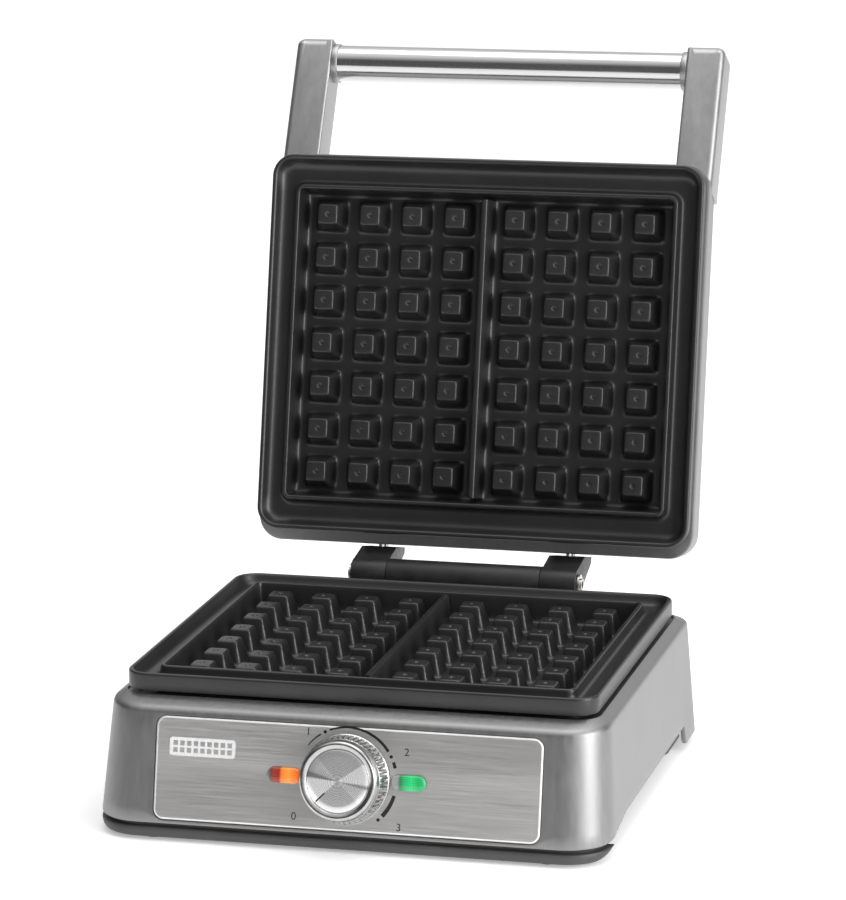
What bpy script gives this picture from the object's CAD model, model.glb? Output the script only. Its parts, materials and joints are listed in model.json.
"""The waffle maker's visual model: detailed meshes and procedural materials on the CAD frame.

Shapes are written in millimetres in three local frames: the base, the closed lid and the
control panel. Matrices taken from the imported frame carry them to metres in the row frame.
"""

import json
import math

import bmesh
import bpy
from mathutils import Matrix, Vector

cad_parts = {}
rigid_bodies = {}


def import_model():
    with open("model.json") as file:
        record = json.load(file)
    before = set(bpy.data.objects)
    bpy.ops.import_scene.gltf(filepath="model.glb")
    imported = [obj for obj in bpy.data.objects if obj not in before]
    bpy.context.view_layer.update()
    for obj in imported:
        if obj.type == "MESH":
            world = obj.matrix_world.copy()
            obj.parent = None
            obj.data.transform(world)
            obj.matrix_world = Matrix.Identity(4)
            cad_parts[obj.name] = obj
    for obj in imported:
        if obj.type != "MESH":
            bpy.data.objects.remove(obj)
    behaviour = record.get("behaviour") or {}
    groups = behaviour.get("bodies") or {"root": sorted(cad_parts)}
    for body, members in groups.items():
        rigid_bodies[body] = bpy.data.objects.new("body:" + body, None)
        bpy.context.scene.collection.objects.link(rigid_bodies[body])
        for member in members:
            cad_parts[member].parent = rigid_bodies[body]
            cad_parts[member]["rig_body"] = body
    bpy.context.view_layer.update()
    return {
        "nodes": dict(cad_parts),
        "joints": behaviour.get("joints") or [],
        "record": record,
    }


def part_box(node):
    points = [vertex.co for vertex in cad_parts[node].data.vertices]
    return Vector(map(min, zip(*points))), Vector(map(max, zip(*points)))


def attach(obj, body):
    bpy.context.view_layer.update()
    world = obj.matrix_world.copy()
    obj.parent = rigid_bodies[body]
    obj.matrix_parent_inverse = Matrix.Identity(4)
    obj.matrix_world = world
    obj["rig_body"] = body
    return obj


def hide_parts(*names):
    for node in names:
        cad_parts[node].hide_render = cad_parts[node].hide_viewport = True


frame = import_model()
MM = 0.001

# ---------- places taken from the frame ----------

JOINTS = {j["name"]: j for j in frame["joints"]}
HINGE = Vector(JOINTS["lid_hinge"]["pos_m"])
LID_OPEN = math.radians(-JOINTS["lid_hinge"]["range_deg"][0])
KNOB_AT = Vector(JOINTS["knob_turn"]["pos_m"])
KNOB_AXIS = Vector(JOINTS["knob_turn"]["axis"])
PLATE_LO, PLATE_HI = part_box("lower_plate")
PLATE_Y = (PLATE_LO.y + PLATE_HI.y) / 2

TILT = math.degrees(math.asin(-KNOB_AXIS.z))
BASE = Matrix.Translation((0, PLATE_Y, 0)) @ Matrix.Diagonal((MM, MM, MM, 1))
SWING = (Matrix.Translation(HINGE) @ Matrix.Rotation(-LID_OPEN, 4, "X")
         @ Matrix.Translation(-HINGE))
LID = SWING @ BASE
PANEL = (Matrix.Translation(KNOB_AT) @ Matrix.Rotation(math.radians(90 - TILT), 4, "X")
         @ Matrix.Diagonal((MM, MM, MM, 1)))

# ---------- sizes, mm ----------

PLATE_HX = (PLATE_HI.x - PLATE_LO.x) / 2 / MM
PLATE_HY = (PLATE_HI.y - PLATE_LO.y) / 2 / MM
RIM_Z = PLATE_HI.z / MM
LID_PLANE = RIM_Z + 0.5
RIM_H = 8.3
FIELD_Z = -13.0
COL0, PITCH_X, PITCH_Y = 15.35, 22.0, 21.6
DIMPLE_R = 1.25
# casing levels: half width, front, rear, rear corner radius, z, front corner radius
FOOT = (120.5, -119.11, 104.5, 13.0, 4.0, 22.0)
SHOULDER = (116.5, -106.3, 102.0, 11.0, 59.5, 20.0)
COLLAR = (111.5, -95.5, 96.0, 11.0, 62.7, 11.0)
WALL, SHOULDER_ROUND = 2.4, 2.2
# lower edge of the casing: low front, a sweep up to the side arch, a step down to the rear leg
EDGE_Z, ARCH_Z, LEG_Z, LEG_Y = 8.4, 13.3, 4.0, 70.0
SWEEP_Y, SWEEP_LEN, STEP_LEAD, STEP_LEN = -112.0, 46.0, 1.2, 2.8
# skid under the front: its underside, and where and how far it curls up at its ends
SKID_Z, SKID_TOP, CURL_Y, CURL_LEN, CURL_RISE, SKID_END = 0.9, 6.4, -113.0, 17.0, 7.5, -89.0
TUBE_Y, TUBE_Z, TUBE_R = -144.7, LID_PLANE + 43.4, 9.3
ARM_X0, ARM_X1, ARM_T, ARM_RISE = 92.2, 111.2, 20.0, 15.5
# the arm's tongue in the lid: the x of its step and its two lengths
TONGUE_X, TONGUE_SHORT, TONGUE_LONG, TONGUE_GAP = 104.6, 60.5, 67.0, 0.25
PANEL_W, PANEL_H, PANEL_FACE, PANEL_GAP = 180.0, 47.0, 0.2, 0.5
LENS_X, LENS_W, LENS_H, LENS_GAP = 29.0, 16.0, 7.0, 1.5
BUSH_AT, BUSH_R = (-62, 95, 30), 7.1
KNOB_Z, KNOB_RIBS, RIB_DEPTH, FACE_SPAN, START_TURN = 1.0, 48, 0.9, 28.4, 225
DIAL_R, NUMERAL_SIZE, PRINT_T = 23.3, 4.9, 0.025

# ---------- node helpers for materials ----------


def nodes_of(name):
    """A new material, its node tree and its shader."""
    mat = bpy.data.materials.new(name)
    mat.use_nodes = True
    nt = mat.node_tree
    return mat, nt, nt.nodes["Principled BSDF"]


def noise(nt, scale, detail, stretch=(1, 1, 1), rough=0.55):
    """Noise in the object's own space, in metres. A small stretch draws it out along an axis."""
    coord = nt.nodes.new("ShaderNodeTexCoord")
    mapping = nt.nodes.new("ShaderNodeMapping")
    mapping.inputs["Scale"].default_value = stretch
    tex = nt.nodes.new("ShaderNodeTexNoise")
    tex.inputs["Scale"].default_value = scale
    tex.inputs["Detail"].default_value = detail
    tex.inputs["Roughness"].default_value = rough
    nt.links.new(coord.outputs["Object"], mapping.inputs["Vector"])
    nt.links.new(mapping.outputs["Vector"], tex.inputs["Vector"])
    return tex.outputs["Fac"]


def ramp(nt, fac, stops):
    """Colours along a value, from (position, colour) stops."""
    node = nt.nodes.new("ShaderNodeValToRGB")
    e = node.color_ramp.elements
    while len(e) < len(stops):
        e.new(0.5)
    for k, (at, c) in enumerate(stops):
        e[k].position = at
        e[k].color = (*c, 1)
    nt.links.new(fac, node.inputs["Fac"])
    return node.outputs["Color"]


def span(nt, fac, lo, hi, a=0.3, b=0.7):
    """Carries a value from a..b to lo..hi, held at the ends."""
    node = nt.nodes.new("ShaderNodeMapRange")
    for key, value in (("From Min", a), ("From Max", b), ("To Min", lo), ("To Max", hi)):
        node.inputs[key].default_value = value
    nt.links.new(fac, node.inputs["Value"])
    return node.outputs["Result"]


def sums(nt, operation, *values):
    """One math node. Each value is a socket to link or a number."""
    node = nt.nodes.new("ShaderNodeMath")
    node.operation = operation
    for socket, value in zip(node.inputs, values):
        if isinstance(value, (int, float)):
            socket.default_value = value
        else:
            nt.links.new(value, socket)
    return node.outputs[0]


def axes(nt, vector):
    """The three parts of a vector socket."""
    node = nt.nodes.new("ShaderNodeSeparateXYZ")
    nt.links.new(vector, node.inputs[0])
    return node.outputs


def bump(nt, shader, height, distance, strength, after=None):
    """Surface relief, distance in metres, on top of another bump if there is one."""
    node = nt.nodes.new("ShaderNodeBump")
    node.inputs["Strength"].default_value = strength
    node.inputs["Distance"].default_value = distance
    nt.links.new(height, node.inputs["Height"])
    if after is not None:
        nt.links.new(after, node.inputs["Normal"])
    nt.links.new(node.outputs["Normal"], shader.inputs["Normal"])
    return node.outputs["Normal"]


def grey(v, warm=0.0):
    return (v * (1 + warm), v, v * (1 - warm))


def surface(name, low, high, metal=0.0, rough=(0.4, 0.5), scale=60.0, grain=None):
    """A material whose colour and roughness drift between two values, with a fine grain.
    grain is (noise scale, bump distance in metres)."""
    mat, nt, p = nodes_of(name)
    drift = noise(nt, scale, 5.0)
    nt.links.new(ramp(nt, drift, [(0.3, low), (0.7, high)]), p.inputs["Base Color"])
    nt.links.new(span(nt, drift, *rough), p.inputs["Roughness"])
    p.inputs["Metallic"].default_value = metal
    if grain:
        bump(nt, p, noise(nt, grain[0], 3.0), grain[1], 0.6)
    return mat


def metallic_paint(name, low, high, rough):
    """Satin metallic paint: slow drift, fine flakes and a slight vertical grain."""
    mat, nt, p = nodes_of(name)
    slow = noise(nt, 9.0, 2.0)
    streak = noise(nt, 420.0, 2.0, (1, 1, 0.03))
    flake = noise(nt, 2600.0, 2.0)
    add = sums(nt, "MULTIPLY_ADD", streak, 0.5, span(nt, slow, 0.2, 0.35))
    mixed = sums(nt, "MULTIPLY_ADD", flake, 0.35, add)
    nt.links.new(ramp(nt, mixed, [(0.4, low), (0.9, high)]), p.inputs["Base Color"])
    nt.links.new(span(nt, streak, *rough), p.inputs["Roughness"])
    p.inputs["Metallic"].default_value = 0.9
    bump(nt, p, flake, 0.00002, 0.35)
    return mat


def brushed(name, low, high, rough, stretch, scale, depth, aniso=0.6):
    """Sheet metal with a long grain along the axis whose stretch is smallest."""
    mat, nt, p = nodes_of(name)
    line = noise(nt, scale, 6.0, stretch, 0.7)
    broad = noise(nt, scale * 0.12, 3.0, stretch, 0.6)
    both = sums(nt, "MULTIPLY_ADD", line, 0.6, span(nt, broad, 0.16, 0.24))
    nt.links.new(ramp(nt, both, [(0.32, low), (0.68, high)]), p.inputs["Base Color"])
    nt.links.new(span(nt, line, *rough), p.inputs["Roughness"])
    p.inputs["Metallic"].default_value = 1.0
    p.inputs["Anisotropic"].default_value = aniso
    bump(nt, p, line, depth, 0.5)
    return mat


def nonstick_coat():
    """Black coating on cast metal: orange peel and fine specks."""
    mat, nt, p = nodes_of("nonstick_coat")
    slow = noise(nt, 35.0, 3.0)
    orange_peel = noise(nt, 700.0, 3.0)
    speck = noise(nt, 2400.0, 2.0)
    nt.links.new(ramp(nt, slow, [(0.3, grey(0.0165)), (0.7, grey(0.0235))]),
                 p.inputs["Base Color"])
    nt.links.new(span(nt, speck, 0.27, 0.42), p.inputs["Roughness"])
    p.inputs["Specular IOR Level"].default_value = 0.6
    first = bump(nt, p, orange_peel, 0.00009, 0.5)
    bump(nt, p, speck, 0.00003, 0.5, after=first)
    return mat


def spun_face():
    """Turned metal: fine circles and the fan of light and dark sectors they give."""
    mat, nt, p = nodes_of("spun_face")
    coord = nt.nodes.new("ShaderNodeTexCoord")
    centred = nt.nodes.new("ShaderNodeVectorMath")
    centred.operation = "SUBTRACT"
    centred.inputs[1].default_value = (0.5, 0.5, 0.5)
    nt.links.new(coord.outputs["UV"], centred.inputs[0])
    parts = axes(nt, centred.outputs[0])
    angle = sums(nt, "ARCTAN2", parts["Y"], parts["X"])
    turn = span(nt, angle, 0.0, 1.0, -math.pi, math.pi)
    light, mid, dark = grey(1.0), grey(0.6), grey(0.3)
    # sector edges as shares of a turn, starting at the left and going anticlockwise
    fan = ramp(nt, turn, [
        (0.0, light), (0.118, light), (0.128, mid), (0.375, mid), (0.39, grey(0.75)),
        (0.462, grey(0.7)), (0.472, dark), (0.484, mid), (0.492, light), (0.592, light),
        (0.604, mid), (0.862, mid), (0.878, grey(0.75)), (0.945, grey(0.62)), (0.962, dark),
        (0.98, dark), (0.992, light)])
    nt.links.new(fan, p.inputs["Base Color"])
    nt.links.new(fan, p.inputs["Emission Color"])
    p.inputs["Emission Strength"].default_value = 0.32
    radius = nt.nodes.new("ShaderNodeVectorMath")
    radius.operation = "LENGTH"
    nt.links.new(centred.outputs[0], radius.inputs[0])
    circles = sums(nt, "SINE", sums(nt, "MULTIPLY", radius.outputs["Value"], 500.0))
    nt.links.new(span(nt, circles, 0.2, 0.3, -1, 1), p.inputs["Roughness"])
    p.inputs["Metallic"].default_value = 1.0
    bump(nt, p, circles, 0.0000015, 0.3)
    return mat


def lamp_lens(name, stops, glow, power):
    """Prismatic lens: clear at one end, lit at the other, with a fine moulded grid.
    Its colour runs along the lens by its UV."""
    mat, nt, p = nodes_of(name)
    coord = nt.nodes.new("ShaderNodeTexCoord")
    parts = axes(nt, coord.outputs["UV"])
    nt.links.new(ramp(nt, parts["X"], stops), p.inputs["Base Color"])
    lines = []
    for axis, count in (("X", 22.0), ("Y", 9.0)):
        wave = sums(nt, "SINE", sums(nt, "MULTIPLY", parts[axis], count * 2 * math.pi))
        lines.append(span(nt, wave, 0.0, 1.0, -1, 1))
    grid = sums(nt, "MULTIPLY", *lines)
    lit = ramp(nt, parts["X"], glow)
    tint = nt.nodes.new("ShaderNodeMix")
    tint.data_type = "RGBA"
    tint.blend_type = "MULTIPLY"
    tint.inputs["Factor"].default_value = 0.85
    nt.links.new(lit, tint.inputs["A"])
    nt.links.new(ramp(nt, grid, [(0.1, grey(0.35)), (0.6, grey(1.0))]),
                 tint.inputs["B"])
    nt.links.new(tint.outputs["Result"], p.inputs["Emission Color"])
    p.inputs["Emission Strength"].default_value = power
    p.inputs["Roughness"].default_value = 0.12
    p.inputs["Coat Weight"].default_value = 0.6
    bump(nt, p, grid, 0.00012, 0.8)
    return mat


MATERIAL = {
    "gunmetal_paint": metallic_paint("gunmetal_paint", grey(0.25), grey(0.33), (0.38, 0.46)),
    "arm_silver": metallic_paint("arm_silver", grey(0.36), grey(0.46), (0.34, 0.42)),
    "nonstick": nonstick_coat(),
    "dark_plastic": surface("dark_plastic", grey(0.030), grey(0.042), rough=(0.42, 0.55),
                            grain=(1800.0, 0.00006)),
    "band_plastic": surface("band_plastic", grey(0.055), grey(0.07), rough=(0.4, 0.5),
                            grain=(1500.0, 0.00005)),
    "steel_sheet": surface("steel_sheet", grey(0.5), grey(0.62), metal=1.0, rough=(0.28, 0.42),
                           scale=40.0, grain=(900.0, 0.00002)),
    "zinc_steel": surface("zinc_steel", grey(0.55, 0.02), grey(0.7, 0.03), metal=1.0,
                          rough=(0.25, 0.4), scale=200.0, grain=(2500.0, 0.00001)),
    "brushed_panel": brushed("brushed_panel", grey(0.60, 0.012), grey(0.80, 0.012),
                             (0.34, 0.46), (0.02, 1, 1), 1700.0, 0.00002),
    "cut_edge": surface("cut_edge", grey(0.86), grey(0.97), metal=0.35, rough=(0.3, 0.45),
                        scale=400.0),
    "print_black": surface("print_black", grey(0.008), grey(0.014), rough=(0.4, 0.6),
                           scale=500.0),
    "print_white": surface("print_white", grey(0.78), grey(0.86), rough=(0.35, 0.5),
                           scale=500.0),
    "lamp_glass": surface("lamp_glass", (0.8, 0.6, 0.5), (0.9, 0.75, 0.65), rough=(0.05, 0.12)),
    "black_plastic": surface("black_plastic", grey(0.012), grey(0.02), rough=(0.35, 0.5),
                             grain=(1500.0, 0.00004)),
    "ceramic": surface("ceramic", (0.66, 0.62, 0.53), (0.76, 0.72, 0.63), rough=(0.6, 0.8),
                       grain=(800.0, 0.00005)),
    "brass": surface("brass", (0.62, 0.44, 0.16), (0.75, 0.56, 0.24), metal=1.0,
                     rough=(0.25, 0.4), grain=(1500.0, 0.00001)),
    "rubber": surface("rubber", grey(0.012), grey(0.02), rough=(0.6, 0.8),
                      grain=(900.0, 0.00008)),
    "element_steel": surface("element_steel", (0.10, 0.085, 0.08), (0.17, 0.15, 0.15), metal=0.8,
                             rough=(0.4, 0.6), scale=120.0, grain=(900.0, 0.00003)),
    "cast_hinge": surface("cast_hinge", grey(0.016), grey(0.026), rough=(0.38, 0.52),
                          scale=150.0, grain=(1300.0, 0.00012)),
    "wire_silicone": surface("wire_silicone", (0.30, 0.02, 0.015), (0.42, 0.04, 0.03),
                             rough=(0.35, 0.5), grain=(900.0, 0.00003)),
    "tube_steel": brushed("tube_steel", grey(0.60), grey(0.72), (0.13, 0.20), (0.02, 1, 1),
                          1400.0, 0.000006, aniso=0.3),
    "knob_metal": surface("knob_metal", grey(0.45), grey(0.55), metal=1.0, rough=(0.16, 0.24),
                          scale=300.0, grain=(3000.0, 0.000004)),
    "spun_metal": spun_face(),
    "amber_lens": lamp_lens(
        "amber_lens",
        [(0.0, grey(0.3)), (0.14, (0.10, 0.07, 0.07)), (0.2, (0.35, 0.05, 0.02)),
         (0.38, (0.30, 0.02, 0.01)), (0.46, (0.9, 0.22, 0.02)), (1.0, (0.8, 0.15, 0.01))],
        [(0.0, (0.02, 0.01, 0.01)), (0.18, (0.12, 0.01, 0.003)), (0.38, (0.22, 0.012, 0.002)),
         (0.47, (1.0, 0.20, 0.01)), (0.66, (1.0, 0.48, 0.10)), (0.86, (1.0, 0.22, 0.01)),
         (1.0, (0.5, 0.03, 0.002))], 0.75),
    "green_lens": lamp_lens(
        "green_lens",
        [(0.0, grey(0.45)), (0.2, grey(0.32)), (0.28, (0.03, 0.16, 0.07)),
         (0.4, (0.01, 0.35, 0.11)), (1.0, (0.01, 0.30, 0.09))],
        [(0.0, (0.02, 0.02, 0.02)), (0.25, (0.02, 0.05, 0.03)), (0.36, (0.0, 0.30, 0.08)),
         (0.6, (0.06, 0.95, 0.30)), (0.8, (0.0, 0.42, 0.12)), (1.0, (0.0, 0.28, 0.08))], 0.6),
}

for entry in frame["record"]["subparts"]:
    cad_mesh = frame["nodes"][entry["node"]].data
    cad_mesh.materials.clear()
    cad_mesh.materials.append(MATERIAL[entry["material_slot"]])

# ---------- mesh helpers ----------


def mesh_object(name, verts, faces, where, uv=None):
    """A closed mesh carried to its place, with its faces outward. uv maps a local point."""
    me = bpy.data.meshes.new(name)
    me.from_pydata([tuple(v) for v in verts], [], faces)
    bm = bmesh.new()
    bm.from_mesh(me)
    if uv:
        layer = bm.loops.layers.uv.new("UVMap")
        for f in bm.faces:
            for loop in f.loops:
                loop[layer].uv = uv(loop.vert.co)
    bm.transform(where)
    bmesh.ops.recalc_face_normals(bm, faces=bm.faces)
    bm.to_mesh(me)
    bm.free()
    return link(name, me)


def link(name, data):
    o = bpy.data.objects.new(name, data)
    bpy.context.scene.collection.objects.link(o)
    return o


def piece(name, body, slot, verts, faces, where, stands_for=(), sharp=35.0, mat=None, uv=None):
    """A finished mesh piece, riding on a body and standing for CAD nodes."""
    return dress(mesh_object(name, verts, faces, where, uv), body, slot, stands_for, sharp, mat)


def dress(o, body, slot, stands_for=(), sharp=35.0, mat=None):
    """Material, smooth shading with sharp edges kept, body, slot and the nodes stood for."""
    me = o.data
    me.materials.clear()
    me.materials.append(mat or MATERIAL[slot])
    me.polygons.foreach_set("use_smooth", [True] * len(me.polygons))
    me.set_sharp_from_angle(angle=math.radians(sharp))
    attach(o, body)
    if stands_for:
        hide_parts(*stands_for)
    return o


def settle(o):
    """Applies an object's modifiers to its mesh."""
    graph = bpy.context.evaluated_depsgraph_get()
    graph.update()
    me = bpy.data.meshes.new_from_object(o.evaluated_get(graph))
    o.modifiers.clear()
    o.data = me
    return o


def scratch(verts, faces, where):
    """A mesh that is cut, or that cuts."""
    return mesh_object("scratch", verts, faces, where)


def cut(o, cutters):
    """Takes the cutters out of o, exactly."""
    for c in cutters:
        m = o.modifiers.new("cut", "BOOLEAN")
        m.operation = "DIFFERENCE"
        m.solver = "EXACT"
        m.object = c
    settle(o)
    for c in cutters:
        bpy.data.objects.remove(c)
    return o


def loft(rings, around=False):
    """Skin through closed rings of equal length, with both ends capped. around joins the last
    ring back to the first instead."""
    n = len(rings[0])
    verts = [p for ring in rings for p in ring]
    faces = []
    for k in range(len(rings) - (0 if around else 1)):
        a, b = k * n, ((k + 1) % len(rings)) * n
        faces += [(a + i, a + (i + 1) % n, b + (i + 1) % n, b + i) for i in range(n)]
    if not around:
        faces += [tuple(range(n - 1, -1, -1)), tuple(range(len(verts) - n, len(verts)))]
    return verts, faces


EVEN = [i / 24 for i in range(24)]


def outline(hx, y0, y1, r, sides=EVEN, across=10, corner=10, front=None):
    """Rounded rectangle, anticlockwise from the front left. sides are the shares of the
    straight part of each side at which it has points, front to rear."""
    r = max(r, 0.05)
    rf = r if front is None else max(front, 0.05)
    pts = []

    def arc(cx, cy, radius, start):
        for k in range(corner):
            a = math.radians(start + 90 * k / corner)
            pts.append((cx + radius * math.cos(a), cy + radius * math.sin(a)))

    low, high = y0 + rf, y1 - r
    pts += [(mix(rf - hx, hx - rf, k / across), y0) for k in range(across)]
    arc(hx - rf, low, rf, -90)
    pts += [(hx, mix(low, high, t)) for t in sides]
    arc(hx - r, high, r, 0)
    pts += [(mix(hx - r, r - hx, k / across), y1) for k in range(across)]
    arc(r - hx, high, r, 90)
    pts += [(-hx, mix(low, high, t)) for t in [1.0] + sides[:0:-1]]
    arc(rf - hx, low, rf, 180)
    return pts


def outline_at(line, inset=0.0, **kw):
    """The outline of a casing or lid level, drawn in by inset."""
    hx, y0, y1, r = line[:4]
    front = line[5] - inset if len(line) > 5 else None
    return outline(hx - inset, y0 + inset, y1 - inset, r - inset, front=front, **kw)


def mix(a, b, t):
    return a + (b - a) * t


def at_z(pts, z):
    return [(x, y, z) for x, y in pts]


def smooth(t):
    t = min(max(t, 0.0), 1.0)
    return t * t * (3 - 2 * t)


def turned(profile, n=96, ribs=0, depth=0.0, ribbed=(0, 0)):
    """Rings of a turned shape about Z. Stations from ribbed[0] to ribbed[1] carry ribs."""
    rings = []
    for k, (r, z) in enumerate(profile):
        ring = []
        for i in range(n):
            a = 2 * math.pi * i / n
            rr = r
            if ribs and ribbed[0] <= k <= ribbed[1]:
                wave = math.cos(a * ribs)
                rr -= depth * (0.5 - 0.5 * max(-1.0, min(1.0, 1.7 * wave)))
            ring.append((rr * math.cos(a), rr * math.sin(a), z))
        rings.append(ring)
    return rings


# ---------- base casing ----------

SIDE_Y0, SIDE_Y1 = FOOT[1] + FOOT[5], FOOT[2] - FOOT[3]
side_ys = sorted({SIDE_Y0 + 3.0 * k for k in range(16)}
                 | {SIDE_Y0 + 48 + 9.0 * k for k in range(14)}
                 | {LEG_Y + d for d in (-1.2, -0.8, -0.3, 0.2, 0.7, 1.2, 1.6, 2.6)}
                 | {LEG_Y + 9, LEG_Y + 16})
CASING_SIDES = [(y - SIDE_Y0) / (SIDE_Y1 - SIDE_Y0) for y in side_ys if y < SIDE_Y1 - 1]
CASING = dict(sides=CASING_SIDES, across=16, corner=14)


def lower_edge(y):
    """Height of the casing's lower edge: low front, S-curve, side arch, rear leg."""
    step = y - LEG_Y + STEP_LEAD
    if step > 0:
        return mix(ARCH_Z, LEG_Z, smooth(step / STEP_LEN))
    return mix(EDGE_Z, ARCH_Z, smooth((y - SWEEP_Y) / SWEEP_LEN))


def casing():
    """One closed wall: up the outside, round the shoulder, in at the collar, down inside."""
    foot0 = outline_at(FOOT, 0, **CASING)
    low = [lower_edge(y) for x, y in foot0]

    def wall(inset, heights):
        a, b = outline_at(FOOT, inset, **CASING), outline_at(SHOULDER, inset, **CASING)
        ring = []
        for p, q, z in zip(a, b, heights):
            t = (z - FOOT[4]) / (SHOULDER[4] - FOOT[4])
            ring.append((mix(p[0], q[0], t), mix(p[1], q[1], t), z))
        return ring

    def between(t, inset=0.0, dz=0.0):
        a, b = outline_at(SHOULDER, inset, **CASING), outline_at(COLLAR, inset, **CASING)
        z = mix(SHOULDER[4], COLLAR[4], t) + dz
        return [(mix(p[0], q[0], t), mix(p[1], q[1], t), z) for p, q in zip(a, b)]

    rings = [wall(WALL, [z + 0.5 for z in low]), wall(2.0, low), wall(0.6, low),
             wall(0.16, [z + 0.16 for z in low]), wall(0, [z + 0.6 for z in low])]
    top = SHOULDER[4] - SHOULDER_ROUND
    for k in range(1, 9):
        rings.append(wall(0, [mix(z + 0.6, top, k / 8) for z in low]))
    start, end = rings[-1], between(0.3)
    corner_pts = at_z(outline_at(SHOULDER, 0, **CASING), SHOULDER[4])
    for k in range(1, 7):
        t = k / 6
        ring = []
        for a, b, c in zip(start, corner_pts, end):
            ring.append(tuple((1 - t) ** 2 * a[j] + 2 * t * (1 - t) * b[j] + t * t * c[j]
                              for j in range(3)))
        rings.append(ring)
    rings += [between(0.65), between(0.97), between(1.0, 0.5, -0.25), between(1.0, 0.8, -1.2),
              between(1.0, 6.0, -1.4), between(0.6, 6.0, -4.0)]
    rings += [wall(WALL, [z] * len(low)) for z in (46.0, 26.0)]
    shell = scratch(*loft(rings, around=True), BASE)
    pocket = outline(PANEL_W / 2 + PANEL_GAP, -PANEL_H / 2 - PANEL_GAP,
                     PANEL_H / 2 + PANEL_GAP, 5.0)
    cutters = [scratch(*loft([at_z(pocket, z) for z in (-1.0, 4.0)]), PANEL)]
    for s in (-1, 1):
        ring = outline(LENS_W / 2 + LENS_GAP, -LENS_H / 2 - LENS_GAP,
                       LENS_H / 2 + LENS_GAP, 4.9)
        cutters.append(scratch(*loft([[(x + s * LENS_X, y, z) for x, y in ring]
                                      for z in (-9.0, 1.0)]), PANEL))
    cutters.append(scratch(*loft(turned([(7.0, -9.0), (7.0, 1.0)], 32)), PANEL))
    bush = Matrix.Translation(BUSH_AT) @ Matrix.Rotation(math.radians(-90), 4, "X")
    cutters.append(scratch(*loft(turned([(BUSH_R, 0), (BUSH_R, 15)], 40)), BASE @ bush))
    cut(shell, cutters)
    shell.name = "base_casing"
    return dress(shell, "base", "gunmetal_paint", ("base_housing",), 32.0)


casing()


def foot_band():
    """Rounded skid under the front of the casing, curling up at its ends, and its dark neck."""
    pts = outline_at(FOOT, 0, **CASING)
    n = len(pts)
    corner, side_points = CASING["corner"], 8
    front = CASING["across"] + corner
    order = [i % n for i in range(n - corner - side_points, n + front + side_points)]

    def curl(y):
        """Height of the skid's underside, rising towards its ends."""
        return SKID_Z + CURL_RISE * (max(y - CURL_Y, 0) / CURL_LEN) ** 2

    def section(i, low, high, rows):
        return [(*outline_at(FOOT, inset, **CASING)[i], mix(low, high, share))
                for inset, share in rows]

    least = SKID_TOP - 0.15
    lows = [(i, least if pts[i][1] > SKID_END else min(curl(pts[i][1]), least)) for i in order]
    keep = [j for j, (i, low) in enumerate(lows) if low < least - 0.01]
    lows = lows[max(keep[0] - 1, 0):keep[-1] + 2]
    band = [(1.5, 1.0), (0.9, 0.96), (0.6, 0.86), (0.6, 0.62), (0.8, 0.42), (1.3, 0.25),
            (2.2, 0.12), (3.6, 0.03), (5.6, 0.0), (9.0, 0.0), (9.0, 1.0)]
    piece("front_foot_band", "base", "dark_plastic",
          *loft([section(i, low, SKID_TOP, band) for i, low in lows]), BASE,
          ("front_foot_rail",), 40.0, mat=MATERIAL["band_plastic"])
    neck = [(3.4, 1.0), (3.4, 0.5), (3.4, 0.0), (8.6, 0.0), (8.6, 1.0)]
    rows = [section(i, max(6.2, min(8.3, curl(pts[i][1]))), 13.9, neck)
            for i in order if pts[i][1] <= -90]
    piece("front_foot_neck", "base", "dark_plastic", *loft(rows), BASE, (), 40.0)


foot_band()

# ---------- waffle plates ----------

RIDGE_HX, RIDGE_HY, RIDGE_R = 97.6, 79.1, 4.0
FIELD_HX, FIELD_HY = RIDGE_HX - 4.6, RIDGE_HY - 4.6
RING_UNDER, FIELD_UNDER = -15.9, -15.8


def plate_ring():
    """Lip, drip channel and raised border, as one closed section round the plate."""
    def outer(d, z):
        return at_z(outline(PLATE_HX - d, -PLATE_HY + d, PLATE_HY - d, 11 - d), z)

    def inner(e, z):
        return at_z(outline(RIDGE_HX + e, -RIDGE_HY - e, RIDGE_HY + e, max(RIDGE_R + e, 0.8)), z)

    rows = [outer(0.7, -RIM_H), outer(0.15, -RIM_H + 0.2), outer(0, -RIM_H + 0.8),
            outer(0, -1.2), outer(0.12, -0.55), outer(0.45, -0.12), outer(0.95, 0),
            outer(1.5, -0.02), outer(2.0, -0.25), outer(2.45, -0.8), outer(2.9, -1.7),
            outer(3.5, -2.9), outer(4.3, -3.95), outer(5.3, -4.75), outer(6.5, -5.25),
            outer(7.8, -5.45), outer(8.8, -5.5),
            inner(3.6, -5.5), inner(2.7, -5.4), inner(1.9, -5.05), inner(1.25, -4.4),
            inner(0.85, -3.5), inner(0.6, -2.4), inner(0.45, -1.2), inner(0.25, -0.65),
            inner(-0.1, -0.36), inner(-0.6, -0.3), inner(-1.15, -0.32), inner(-1.5, -0.5),
            inner(-1.75, -1.0), inner(-1.95, -2.2), inner(-2.7, -9.0), inner(-3.1, -11.2),
            inner(-3.6, -12.2), inner(-4.3, -12.75), inner(-5.2, -12.98), inner(-6.0, -13.1),
            inner(-6.0, RING_UNDER), inner(1.5, RING_UNDER), inner(3.0, -RIM_H)]
    return loft(rows, around=True)


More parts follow.
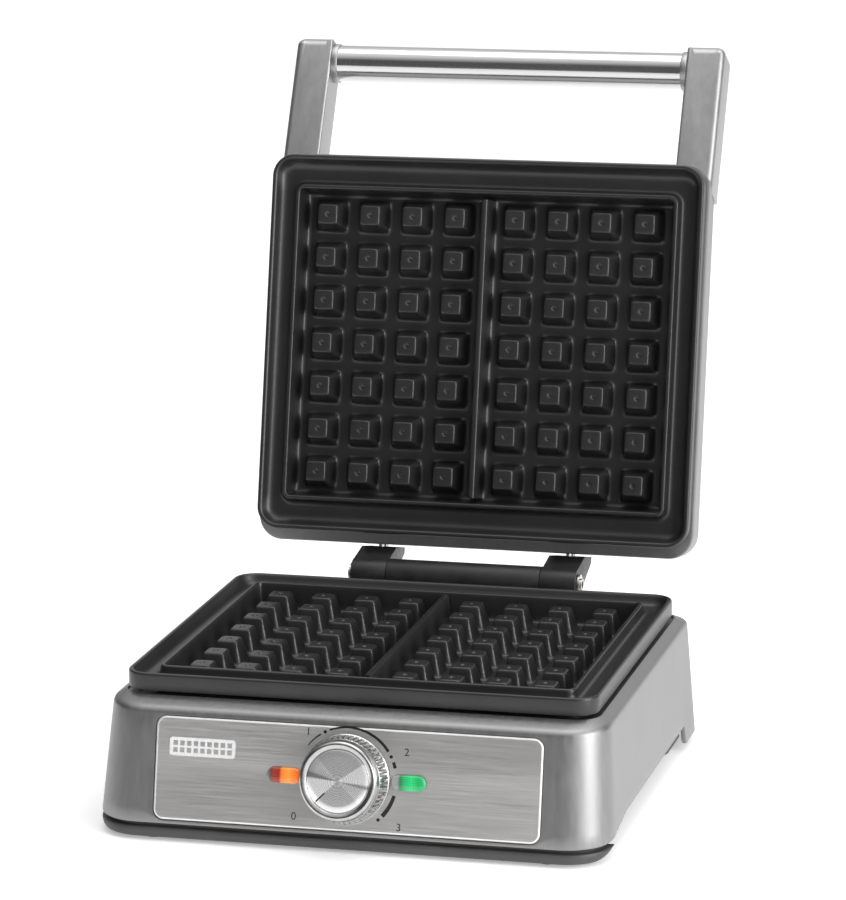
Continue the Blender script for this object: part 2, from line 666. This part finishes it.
# heights by the distance from a pyramid's middle, and from the middle of the rib
BUMP = [(0, -2.0), (4.15, -2.0), (4.6, -2.09), (4.95, -2.4), (5.2, -3.1), (7.25, -11.0),
        (7.6, -12.0), (8.1, -12.62), (8.8, -12.92), (9.6, FIELD_Z)]
DIVIDER = [(0, -0.5), (0.8, -0.55), (1.2, -0.8), (1.5, -1.5), (2.5, -10.6), (2.9, -11.8),
           (3.6, -12.6), (4.6, -12.94), (5.6, FIELD_Z)]


def follow(table, d):
    """The height that a table gives at a distance."""
    for (d0, z0), (d1, z1) in zip(table, table[1:]):
        if d <= d1:
            return mix(z0, z1, (d - d0) / (d1 - d0))
    return table[-1][1]


def stations(centres, pitch, end, extra=()):
    """Grid lines across a field, close together where its pyramids bend."""
    marks = {-end, end, *extra}
    for c in centres:
        for d in (0, 0.3, 0.6, 0.9, 1.2, 1.6, 2.8, 4.15, 4.6, 4.95, 5.2, 6.2, 7.25, 7.6, 8.1,
                  8.8, 9.6):
            marks |= {round(c - d, 3), round(c + d, 3)}
        marks |= {round(c - pitch / 2, 3), round(c + pitch / 2, 3)}
    marks = sorted(m for m in marks if -end <= m <= end)
    kept = [marks[0]]
    for m in marks[1:]:
        if m - kept[-1] > 0.12:
            kept.append(m)
    kept[-1] = end
    return kept


def waffle_field():
    """The floor of both fields with its rounded pyramids and the rib between them."""
    cols = [s * (COL0 + PITCH_X * i) for s in (-1, 1) for i in range(4)]
    rows = [PITCH_Y * i for i in range(-3, 4)]
    ribs = [s * d for s in (-1, 1) for d, z in DIVIDER]
    xs = stations(cols, PITCH_X, FIELD_HX, ribs)
    ys = stations(rows, PITCH_Y, FIELD_HY)

    def height(x, y):
        cx = min(cols, key=lambda c: abs(c - x))
        cy = min(rows, key=lambda c: abs(c - y))
        dx, dy = abs(x - cx), abs(y - cy)
        d = (dx ** 9 + dy ** 9) ** (1 / 9) if dx + dy else 0
        z = follow(BUMP, d)
        rho = math.hypot(dx, dy) / DIMPLE_R
        if rho < 1:
            z -= 0.5 * (1 - rho * rho) ** 0.5
        return max(z, follow(DIVIDER, abs(x)))

    nx, ny = len(xs), len(ys)
    verts = [(x, y, height(x, y)) for y in ys for x in xs]
    faces = [(j * nx + i, j * nx + i + 1, (j + 1) * nx + i + 1, (j + 1) * nx + i)
             for j in range(ny - 1) for i in range(nx - 1)]
    rim = list(range(nx))
    rim += [j * nx + nx - 1 for j in range(1, ny)]
    rim += [(ny - 1) * nx + i for i in range(nx - 2, -1, -1)]
    rim += [j * nx for j in range(ny - 2, 0, -1)]
    start = len(verts)
    verts += [(verts[i][0], verts[i][1], FIELD_UNDER) for i in rim]
    m = len(rim)
    faces += [(rim[k], rim[(k + 1) % m], start + (k + 1) % m, start + k) for k in range(m)]
    faces.append(tuple(range(start + m - 1, start - 1, -1)))
    return verts, faces


ring_v, ring_f = plate_ring()
field_v, field_f = waffle_field()
plate_v = ring_v + field_v
plate_f = ring_f + [tuple(i + len(ring_v) for i in f) for f in field_f]
LOWER = BASE @ Matrix.Translation((0, 0, RIM_Z))
UPPER = LID @ Matrix.Translation((0, 0, LID_PLANE)) @ Matrix.Diagonal((1, 1, -1, 1))
piece("lower_waffle_plate", "base", "nonstick", plate_v, plate_f, LOWER, ("lower_plate",), 48.0)
piece("upper_waffle_plate", "lid", "nonstick", plate_v, plate_f, UPPER, ("upper_plate",), 48.0)

# ---------- lid shell ----------

LID_EDGE = (111.5, -95.5, 100.0, 12.0, LID_PLANE + 9)
LID_MID = (110.5, -95.0, 99.4, 12.0, LID_PLANE + 29)
LID_TOP = (102.0, -86.5, 91.0, 10.0, LID_PLANE + 38)
ARM = (LID @ Matrix.Translation((0, TUBE_Y, TUBE_Z))
       @ Matrix.Rotation(math.radians(-ARM_RISE), 4, "X"))


def lid_shell():
    """Open shell with a domed back, slotted for the tongues of the handle arms."""
    def level(line, inset=0.0, dz=0.0):
        return at_z(outline_at(line, inset, corner=14), line[4] + dz)

    def blend_up(inset):
        low, high = outline_at(LID_MID, inset, corner=14), outline_at(LID_TOP, inset, corner=14)
        z0, z1 = LID_MID[4], LID_TOP[4] - inset
        rings = []
        for k in range(1, 11):
            a = math.radians(90 * k / 10)
            s, c = math.sin(a), 1 - math.cos(a)
            rings.append([(mix(p[0], q[0], c), mix(p[1], q[1], c), mix(z0, z1, s))
                          for p, q in zip(low, high)])
        return rings

    outer = [level(LID_EDGE, 1.1, 0.0), level(LID_EDGE, 0.35, 0.2), level(LID_EDGE, 0.05, 0.8)]
    for k in range(1, 7):
        t = k / 6
        a, b = outline_at(LID_EDGE, 0, corner=14), outline_at(LID_MID, 0, corner=14)
        outer.append([(mix(p[0], q[0], t), mix(p[1], q[1], t),
                       mix(LID_EDGE[4] + 1.6, LID_MID[4], t)) for p, q in zip(a, b)])
    outer += blend_up(0)
    for k in (0.75, 0.4, 0.1):
        outer.append([(x * k, (y - 2) * k + 2, LID_TOP[4]) for x, y in
                      outline_at(LID_TOP, 0, corner=14)])
    hole = outline(103, -84.3, 84.3, 2.0, corner=14)
    inner = blend_up(WALL)[::-1] + [level(LID_MID, WALL), level(LID_EDGE, WALL, WALL),
                                    at_z(hole, LID_EDGE[4] + WALL), at_z(hole, LID_EDGE[4])]
    shell = scratch(*loft(inner + outer), LID)
    cutters = []
    for s in (-1, 1):
        for x0, far in ((ARM_X0 - TONGUE_GAP, TONGUE_SHORT + TONGUE_GAP),
                        (TONGUE_X - TONGUE_GAP, TONGUE_LONG + TONGUE_GAP)):
            x = sorted((s * x0, s * (ARM_X1 + 12)))
            box = [[(x[0], -30.0, z), (x[1], -30.0, z), (x[1], far, z), (x[0], far, z)]
                   for z in (-ARM_T / 2 - TONGUE_GAP, ARM_T / 2 + TONGUE_GAP)]
            cutters.append(scratch(*loft(box), ARM))
    cut(shell, cutters)
    shell.name = "lid_shell"
    return dress(shell, "lid", "gunmetal_paint", ("lid_housing",), 32.0)


lid_shell()

# ---------- handle ----------


def handle_arm(side, name, node):
    """Box-section arm: rounded end, a wide round on its outer edges, a tongue in the lid.
    Each outline point has the rounding of its lower and its upper edge."""
    x0, x1, end = ARM_X0, ARM_X1, -11.0
    inner_r, outer_r = 2.2, 4.6
    front, outer_low, outer_high, inner_low, inner_high, crisp = 5.5, 3.0, 1.6, 1.2, 1.3, 0.3
    pts = []
    for k in range(9):
        a = math.radians(180 + 90 * k / 8)
        pts.append((x0 + inner_r + inner_r * math.cos(a), end + inner_r + inner_r * math.sin(a),
                    mix(inner_low, front, smooth(k / 8)), inner_high))
    for k in range(13):
        a = math.radians(270 + 90 * k / 12)
        pts.append((x1 - outer_r + outer_r * math.cos(a), end + outer_r + outer_r * math.sin(a),
                    mix(front, outer_low, smooth(k / 12)), outer_high))
    for k in range(1, 14):
        pts.append((x1, mix(end + outer_r, TONGUE_LONG, k / 13), outer_low, outer_high))
    pts += [(TONGUE_X, TONGUE_LONG, crisp, crisp), (TONGUE_X, TONGUE_SHORT, crisp, crisp),
            (x0, TONGUE_SHORT, crisp, crisp)]
    for k in range(1, 12):
        pts.append((x0, mix(TONGUE_SHORT, end + inner_r, k / 12), inner_low, inner_high))
    n = len(pts)
    normals = []
    for i in range(n):
        p, q = pts[i - 1], pts[(i + 1) % n]
        d = Vector((q[0] - p[0], q[1] - p[1])).normalized()
        normals.append(Vector((-d.y, d.x)))
    rings = []
    half = ARM_T / 2
    steps = [0, 11, 22, 34, 45, 56, 68, 79, 90]
    for sign in (-1, 1):
        for a in (steps if sign < 0 else steps[::-1]):
            ring = []
            for (x, q, below, above), nrm in zip(pts, normals):
                r = below if sign < 0 else above
                inset = r * (1 - math.sin(math.radians(a)))
                z = sign * (half - r * (1 - math.cos(math.radians(a))))
                ring.append((side * (x + nrm.x * inset), q + nrm.y * inset, z))
            rings.append(ring)
    arm = scratch(*loft(rings), ARM)
    bore = (Matrix.Translation((side * (ARM_X0 - 2), 0, 0))
            @ Matrix.Rotation(math.radians(90 * side), 4, "Y"))
    cut(arm, [scratch(*loft(turned([(TUBE_R + 0.05, 0), (TUBE_R + 0.05, 6)], 64)), ARM @ bore)])
    arm.name = name
    return dress(arm, "lid", "arm_silver", (node,), 30.0)


handle_arm(-1, "left_arm", "left_handle_arm")
handle_arm(1, "right_arm", "right_handle_arm")

ALONG_X = ARM @ Matrix.Rotation(math.radians(90), 4, "Y")
reach = ARM_X0 + 3.9
tube_profile = [(TUBE_R - 1.2, -reach), (TUBE_R, -reach)]
tube_profile += [(TUBE_R, mix(-reach, reach, k / 20)) for k in range(1, 20)]
tube_profile += [(TUBE_R, reach), (TUBE_R - 1.2, reach)]
piece("grip_tube", "lid", "tube_steel", *loft(turned(tube_profile, 128), around=True), ALONG_X,
      ("handle_tube",))
for s, side in ((-1, "left"), (1, "right")):
    face = s * ARM_X0
    ring = [(TUBE_R + 0.02, face), (TUBE_R + 0.62, face), (TUBE_R + 0.7, face - s * 0.3),
            (TUBE_R + 0.7, face - s * 2.4), (TUBE_R + 0.5, face - s * 2.85),
            (TUBE_R + 0.25, face - s * 3.0), (TUBE_R + 0.02, face - s * 3.0)]
    piece(f"{side}_tube_collar", "lid", "arm_silver", *loft(turned(ring, 96), around=True),
          ALONG_X, ("handle_collars",) if s < 0 else ())

# ---------- control panel ----------


def panel_sheet():
    """The steel sheet with its holes, and the bright cut edge round it."""
    def level(inset, z):
        return at_z(outline(PANEL_W / 2 - inset, -PANEL_H / 2 + inset, PANEL_H / 2 - inset,
                            4.6 - inset, corner=12), z)

    rows = [level(0.5, -1.0), level(0.5, -0.4), level(0.62, 0.1), level(0.8, PANEL_FACE)]
    sheet = scratch(*loft(rows), PANEL)
    cutters = [scratch(*loft(turned([(5.0, -3), (5.0, 3)], 32)), PANEL)]
    for s in (-1, 1):
        ring = outline(LENS_W / 2 + 0.1, -LENS_H / 2 - 0.1, LENS_H / 2 + 0.1, 3.55)
        cutters.append(scratch(*loft([[(x + s * LENS_X, y, z) for x, y in ring]
                                      for z in (-3.0, 3.0)]), PANEL))
    cut(sheet, cutters)
    sheet.name = "steel_panel"
    dress(sheet, "base", "brushed_panel", ("control_panel",), 20.0)
    edge = [level(0.45, -0.9), level(0, -0.9), level(0, -0.25), level(0.1, -0.05),
            level(0.34, 0.14), level(0.62, 0.24), level(0.85, 0.24), level(0.92, 0.14),
            level(0.55, -0.2)]
    piece("panel_cut_edge", "base", "brushed_panel", *loft(edge, around=True), PANEL, (), 40.0,
          mat=MATERIAL["cut_edge"])


panel_sheet()


def lens(name, side, slot, node):
    """A long lens with rounded ends, beside the knob."""
    ring = []
    for inset, z in ((0, -1.0), (0, 0.9), (0.12, 1.3), (0.45, 1.65), (1.0, 1.92), (1.7, 2.08),
                     (2.5, 2.17)):
        ring.append([(x + side * LENS_X, y, z) for x, y in outline(
            LENS_W / 2 - inset, -LENS_H / 2 + inset, LENS_H / 2 - inset, 3.4 - inset)])

    def uv(co):
        return ((co.x - side * LENS_X) / LENS_W + 0.5, co.y / LENS_H + 0.5)

    return piece(name, "base", slot, *loft(ring), PANEL, (node,), 50.0, uv=uv)


lens("amber_lamp_lens", -1, "amber_lens", "power_lamp_lens")
lens("green_lamp_lens", 1, "green_lens", "ready_lamp_lens")


# arcs of the scale: start and end in degrees, line width at each
ARCS = ((142, 123, 0.5, 0.75), (112, 35.5, 0.85, 1.35), (22.5, 15.5, 1.4, 1.5),
        (-15, -42, 1.6, 2.0))
DOTS, DOT_R = (117.5, 29, -48), 0.8
NUMERALS = (("1", -18.6, 20.2), ("2", 27.5, 13.6), ("3", 25.2, -20.3), ("0", -23.8, -18.3))


def dial_print():
    """The scale's arcs and dots as one thin piece, and each numeral as its own."""
    verts, faces = [], []

    def slab(points):
        n, start = len(points), len(verts)
        verts.extend([(x, y, PANEL_FACE - 0.02) for x, y in points])
        verts.extend([(x, y, PANEL_FACE + 0.05) for x, y in points])
        faces.append(tuple(range(start + n - 1, start - 1, -1)))
        faces.append(tuple(range(start + n, start + 2 * n)))
        faces.extend([(start + i, start + (i + 1) % n, start + n + (i + 1) % n, start + n + i)
                      for i in range(n)])

    for a0, a1, t0, t1 in ARCS:
        edge, steps = [[], []], 28
        for k in range(steps + 1):
            a = math.radians(mix(a0, a1, k / steps))
            t = mix(t0, t1, k / steps) / 2
            for j, r in enumerate((DIAL_R + t, DIAL_R - t)):
                edge[j].append((r * math.cos(a), r * math.sin(a)))
        slab(edge[0] + edge[1][::-1])
    for a in DOTS:
        c = (DIAL_R * math.cos(math.radians(a)), DIAL_R * math.sin(math.radians(a)))
        slab([(c[0] + DOT_R * math.cos(2 * math.pi * k / 24),
               c[1] + DOT_R * math.sin(2 * math.pi * k / 24)) for k in range(24)])
    piece("dial_scale", "base", "print_black", verts, faces, PANEL, ("dial_markings",))
    for text, x, y in NUMERALS:
        curve = bpy.data.curves.new("numeral_" + text, "FONT")
        curve.body = text
        curve.size = NUMERAL_SIZE
        curve.align_x = "CENTER"
        curve.align_y = "CENTER"
        curve.extrude = PRINT_T
        flat = link("numeral_curve", curve)
        me = bpy.data.meshes.new_from_object(flat)
        bpy.data.objects.remove(flat)
        me.transform(PANEL @ Matrix.Translation((x, y, PANEL_FACE + PRINT_T)))
        dress(link("dial_numeral_" + text, me), "base", "print_black")


dial_print()

# ---------- knob ----------

KNOB = PANEL @ Matrix.Translation((0, 0, KNOB_Z))


def knob():
    """Ribbed grip with a skirt and a bezel, the spun face inside it, and the pointer line."""
    profile = [(17.0, 0.0), (19.9, 0.0), (20.4, 0.25), (20.5, 0.7), (20.5, 1.5), (20.1, 1.9),
               (20.0, 4.0), (19.5, 7.0), (19.0, 10.2), (18.7, 10.6), (18.5, 10.9),
               (18.4, 11.3), (18.4, 11.8), (18.1, 13.6), (17.8, 14.6), (17.4, 15.2),
               (16.9, 15.5), (16.4, 15.56), (15.8, 15.4), (15.0, 14.95), (14.5, 14.6),
               (14.25, 14.3), (14.2, 14.0), (13.8, 13.9), (12.0, 13.9),
               (3.4, 13.9), (3.4, 1.0), (15.6, 1.0), (16.8, 0.6)]
    piece("knob_grip", "knob", "knob_metal",
          *loft(turned(profile, 384, KNOB_RIBS, RIB_DEPTH, (6, 8)), around=True), KNOB,
          ("knob_body",), 28.0)
    face = [(14.1, 13.95), (14.12, 14.5), (14.0, 14.85), (13.7, 15.0), (11.0, 15.08),
            (8.0, 15.12), (4.0, 15.15), (0.4, 15.16)]

    def uv(co):
        return (co.x / FACE_SPAN + 0.5, co.y / FACE_SPAN + 0.5)

    piece("knob_face", "knob", "spun_metal", *loft(turned(face, 128)), KNOB, ("knob_cap",), 40.0,
          uv=uv)
    line = []
    for q, w in ((7.6, 0.16), (8.2, 0.3), (13.0, 0.36), (13.6, 0.2)):
        top = 15.29 - 0.02 * (q - 7.6)
        line.append([(q, -w, top - 0.25), (q, w, top - 0.25), (q, w, top), (q, -w, top)])
    piece("knob_pointer_line", "knob", "print_black", *loft(line),
          KNOB @ Matrix.Rotation(math.radians(START_TURN), 4, "Z"), ("knob_pointer",))


knob()

# ---------- CAD pieces that only need softer edges ----------


def soften(node, width):
    """A copy of a CAD node with its sharp edges rounded over by width, mm."""
    src = frame["nodes"][node]
    me = src.data.copy()
    bm = bmesh.new()
    bm.from_mesh(me)
    bmesh.ops.remove_doubles(bm, verts=bm.verts, dist=1e-6)
    bmesh.ops.dissolve_limit(bm, angle_limit=math.radians(1.0), verts=bm.verts, edges=bm.edges)
    bm.to_mesh(me)
    bm.free()
    o = link(node + "_soft", me)
    m = o.modifiers.new("round", "BEVEL")
    m.width = width * MM
    m.segments = 3
    m.limit_method = "ANGLE"
    m.angle_limit = math.radians(40)
    m.use_clamp_overlap = True
    settle(o)
    slots = {e["node"]: e["material_slot"] for e in frame["record"]["subparts"]}
    return dress(o, src["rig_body"], slots[node], (node,))


for node, width in (("hinge_bracket", 0.6), ("lid_knuckles", 0.6), ("rear_feet", 1.0),
                    ("bottom_cover", 0.4), ("cord_bush", 0.5)):
    soften(node, width)

# ---------- stage, light and camera ----------

FLOOR_SIZE = 8.0
floor_mat = surface("floor_pale", grey(0.90), grey(0.93), rough=(0.75, 0.85), scale=2.0)
floor_shader = floor_mat.node_tree.nodes["Principled BSDF"]
floor_shader.inputs["Emission Color"].default_value = (1, 1, 1, 1)
floor_shader.inputs["Emission Strength"].default_value = 0.35
bm = bmesh.new()
bmesh.ops.create_grid(bm, x_segments=4, y_segments=4, size=FLOOR_SIZE / 2)
floor_mesh = bpy.data.meshes.new("floor")
bm.to_mesh(floor_mesh)
bm.free()
floor_mesh.materials.append(floor_mat)
floor = link("floor", floor_mesh)

world = bpy.data.worlds.new("studio")
bpy.context.scene.world = world
world.use_nodes = True
wt = world.node_tree
back = wt.nodes["Background"]
coord = wt.nodes.new("ShaderNodeTexCoord")
parts = axes(wt, coord.outputs["Generated"])
bearing = sums(wt, "ARCTAN2", parts["X"], sums(wt, "MULTIPLY", parts["Y"], -1.0))
round_turn = span(wt, bearing, 0.0, 1.0, -math.pi, math.pi)
# bearings from the rear over the left, the front (half way) and the right back to the rear
walls = ramp(wt, round_turn, [
    (0.0, grey(0.8)), (0.11, grey(0.4)), (0.22, grey(0.10)), (0.42, grey(0.07)),
    (0.5, grey(0.15)), (0.58, grey(0.5)), (0.64, grey(1.7)), (0.685, grey(3.6)),
    (0.73, grey(1.6)), (0.785, grey(0.25)), (0.87, grey(0.22)), (0.93, grey(0.6)),
    (1.0, grey(0.8))])
ceiling = span(wt, parts["Z"], 0.0, 1.0, 0.55, 0.95)
dome = wt.nodes.new("ShaderNodeMix")
dome.data_type = "RGBA"
wt.links.new(ceiling, dome.inputs["Factor"])
wt.links.new(walls, dome.inputs["A"])
dome.inputs["B"].default_value = (1.0, 1.0, 1.0, 1)
room = dome.outputs["Result"]
path = wt.nodes.new("ShaderNodeLightPath")
seen = wt.nodes.new("ShaderNodeMix")
seen.data_type = "RGBA"
wt.links.new(path.outputs["Is Camera Ray"], seen.inputs["Factor"])
wt.links.new(room, seen.inputs["A"])
seen.inputs["B"].default_value = (1, 1, 1, 1)
wt.links.new(seen.outputs["Result"], back.inputs["Color"])
back.inputs["Strength"].default_value = 1.0


def softbox(name, at, aim, size, power):
    """A soft rectangular light, in metres and watts."""
    light = bpy.data.lights.new(name, "AREA")
    light.shape = "RECTANGLE"
    light.size, light.size_y = size
    light.energy = power
    o = link(name, light)
    o.location = at
    o.rotation_euler = (Vector(aim) - Vector(at)).to_track_quat("-Z", "Y").to_euler()


middle = (0, 0, 0.13)
softbox("key_right", (1.5, -0.62, 0.55), middle, (0.7, 1.0), 10)
softbox("top", (0.2, 0.3, 2.0), middle, (1.8, 1.6), 14)

LENS, SENSOR = 183.07, 36.0
CAMERA_AT = Vector((495.0 * MM, -1899.3 * MM + PLATE_Y, 604.6 * MM))
YAW, PITCH, ROLL = -14.371, 12.760, -0.593


def turn2(degrees):
    """Cosine and sine."""
    a = math.radians(degrees)
    return math.cos(a), math.sin(a)


cy, sy = turn2(YAW)
cp, sp = turn2(PITCH)
cr, sr = turn2(ROLL)
to_view = (Matrix(((cr, -sr, 0), (sr, cr, 0), (0, 0, 1)))
           @ Matrix(((1, 0, 0), (0, cp, -sp), (0, sp, cp)))
           @ Matrix(((1, 0, 0), (0, 0, -1), (0, 1, 0)))
           @ Matrix(((cy, -sy, 0), (sy, cy, 0), (0, 0, 1))))
camera_data = bpy.data.cameras.new("camera")
camera_data.lens = LENS
camera_data.sensor_width = SENSOR
camera_data.sensor_fit = "HORIZONTAL"
camera_data.clip_end = 50
camera = link("camera", camera_data)
turn = Matrix((to_view[0], -to_view[1], -to_view[2])).transposed()
camera.matrix_world = Matrix.Translation(CAMERA_AT) @ turn.to_4x4()
bpy.context.scene.camera = camera
bpy.context.scene.view_settings.view_transform = "Standard"
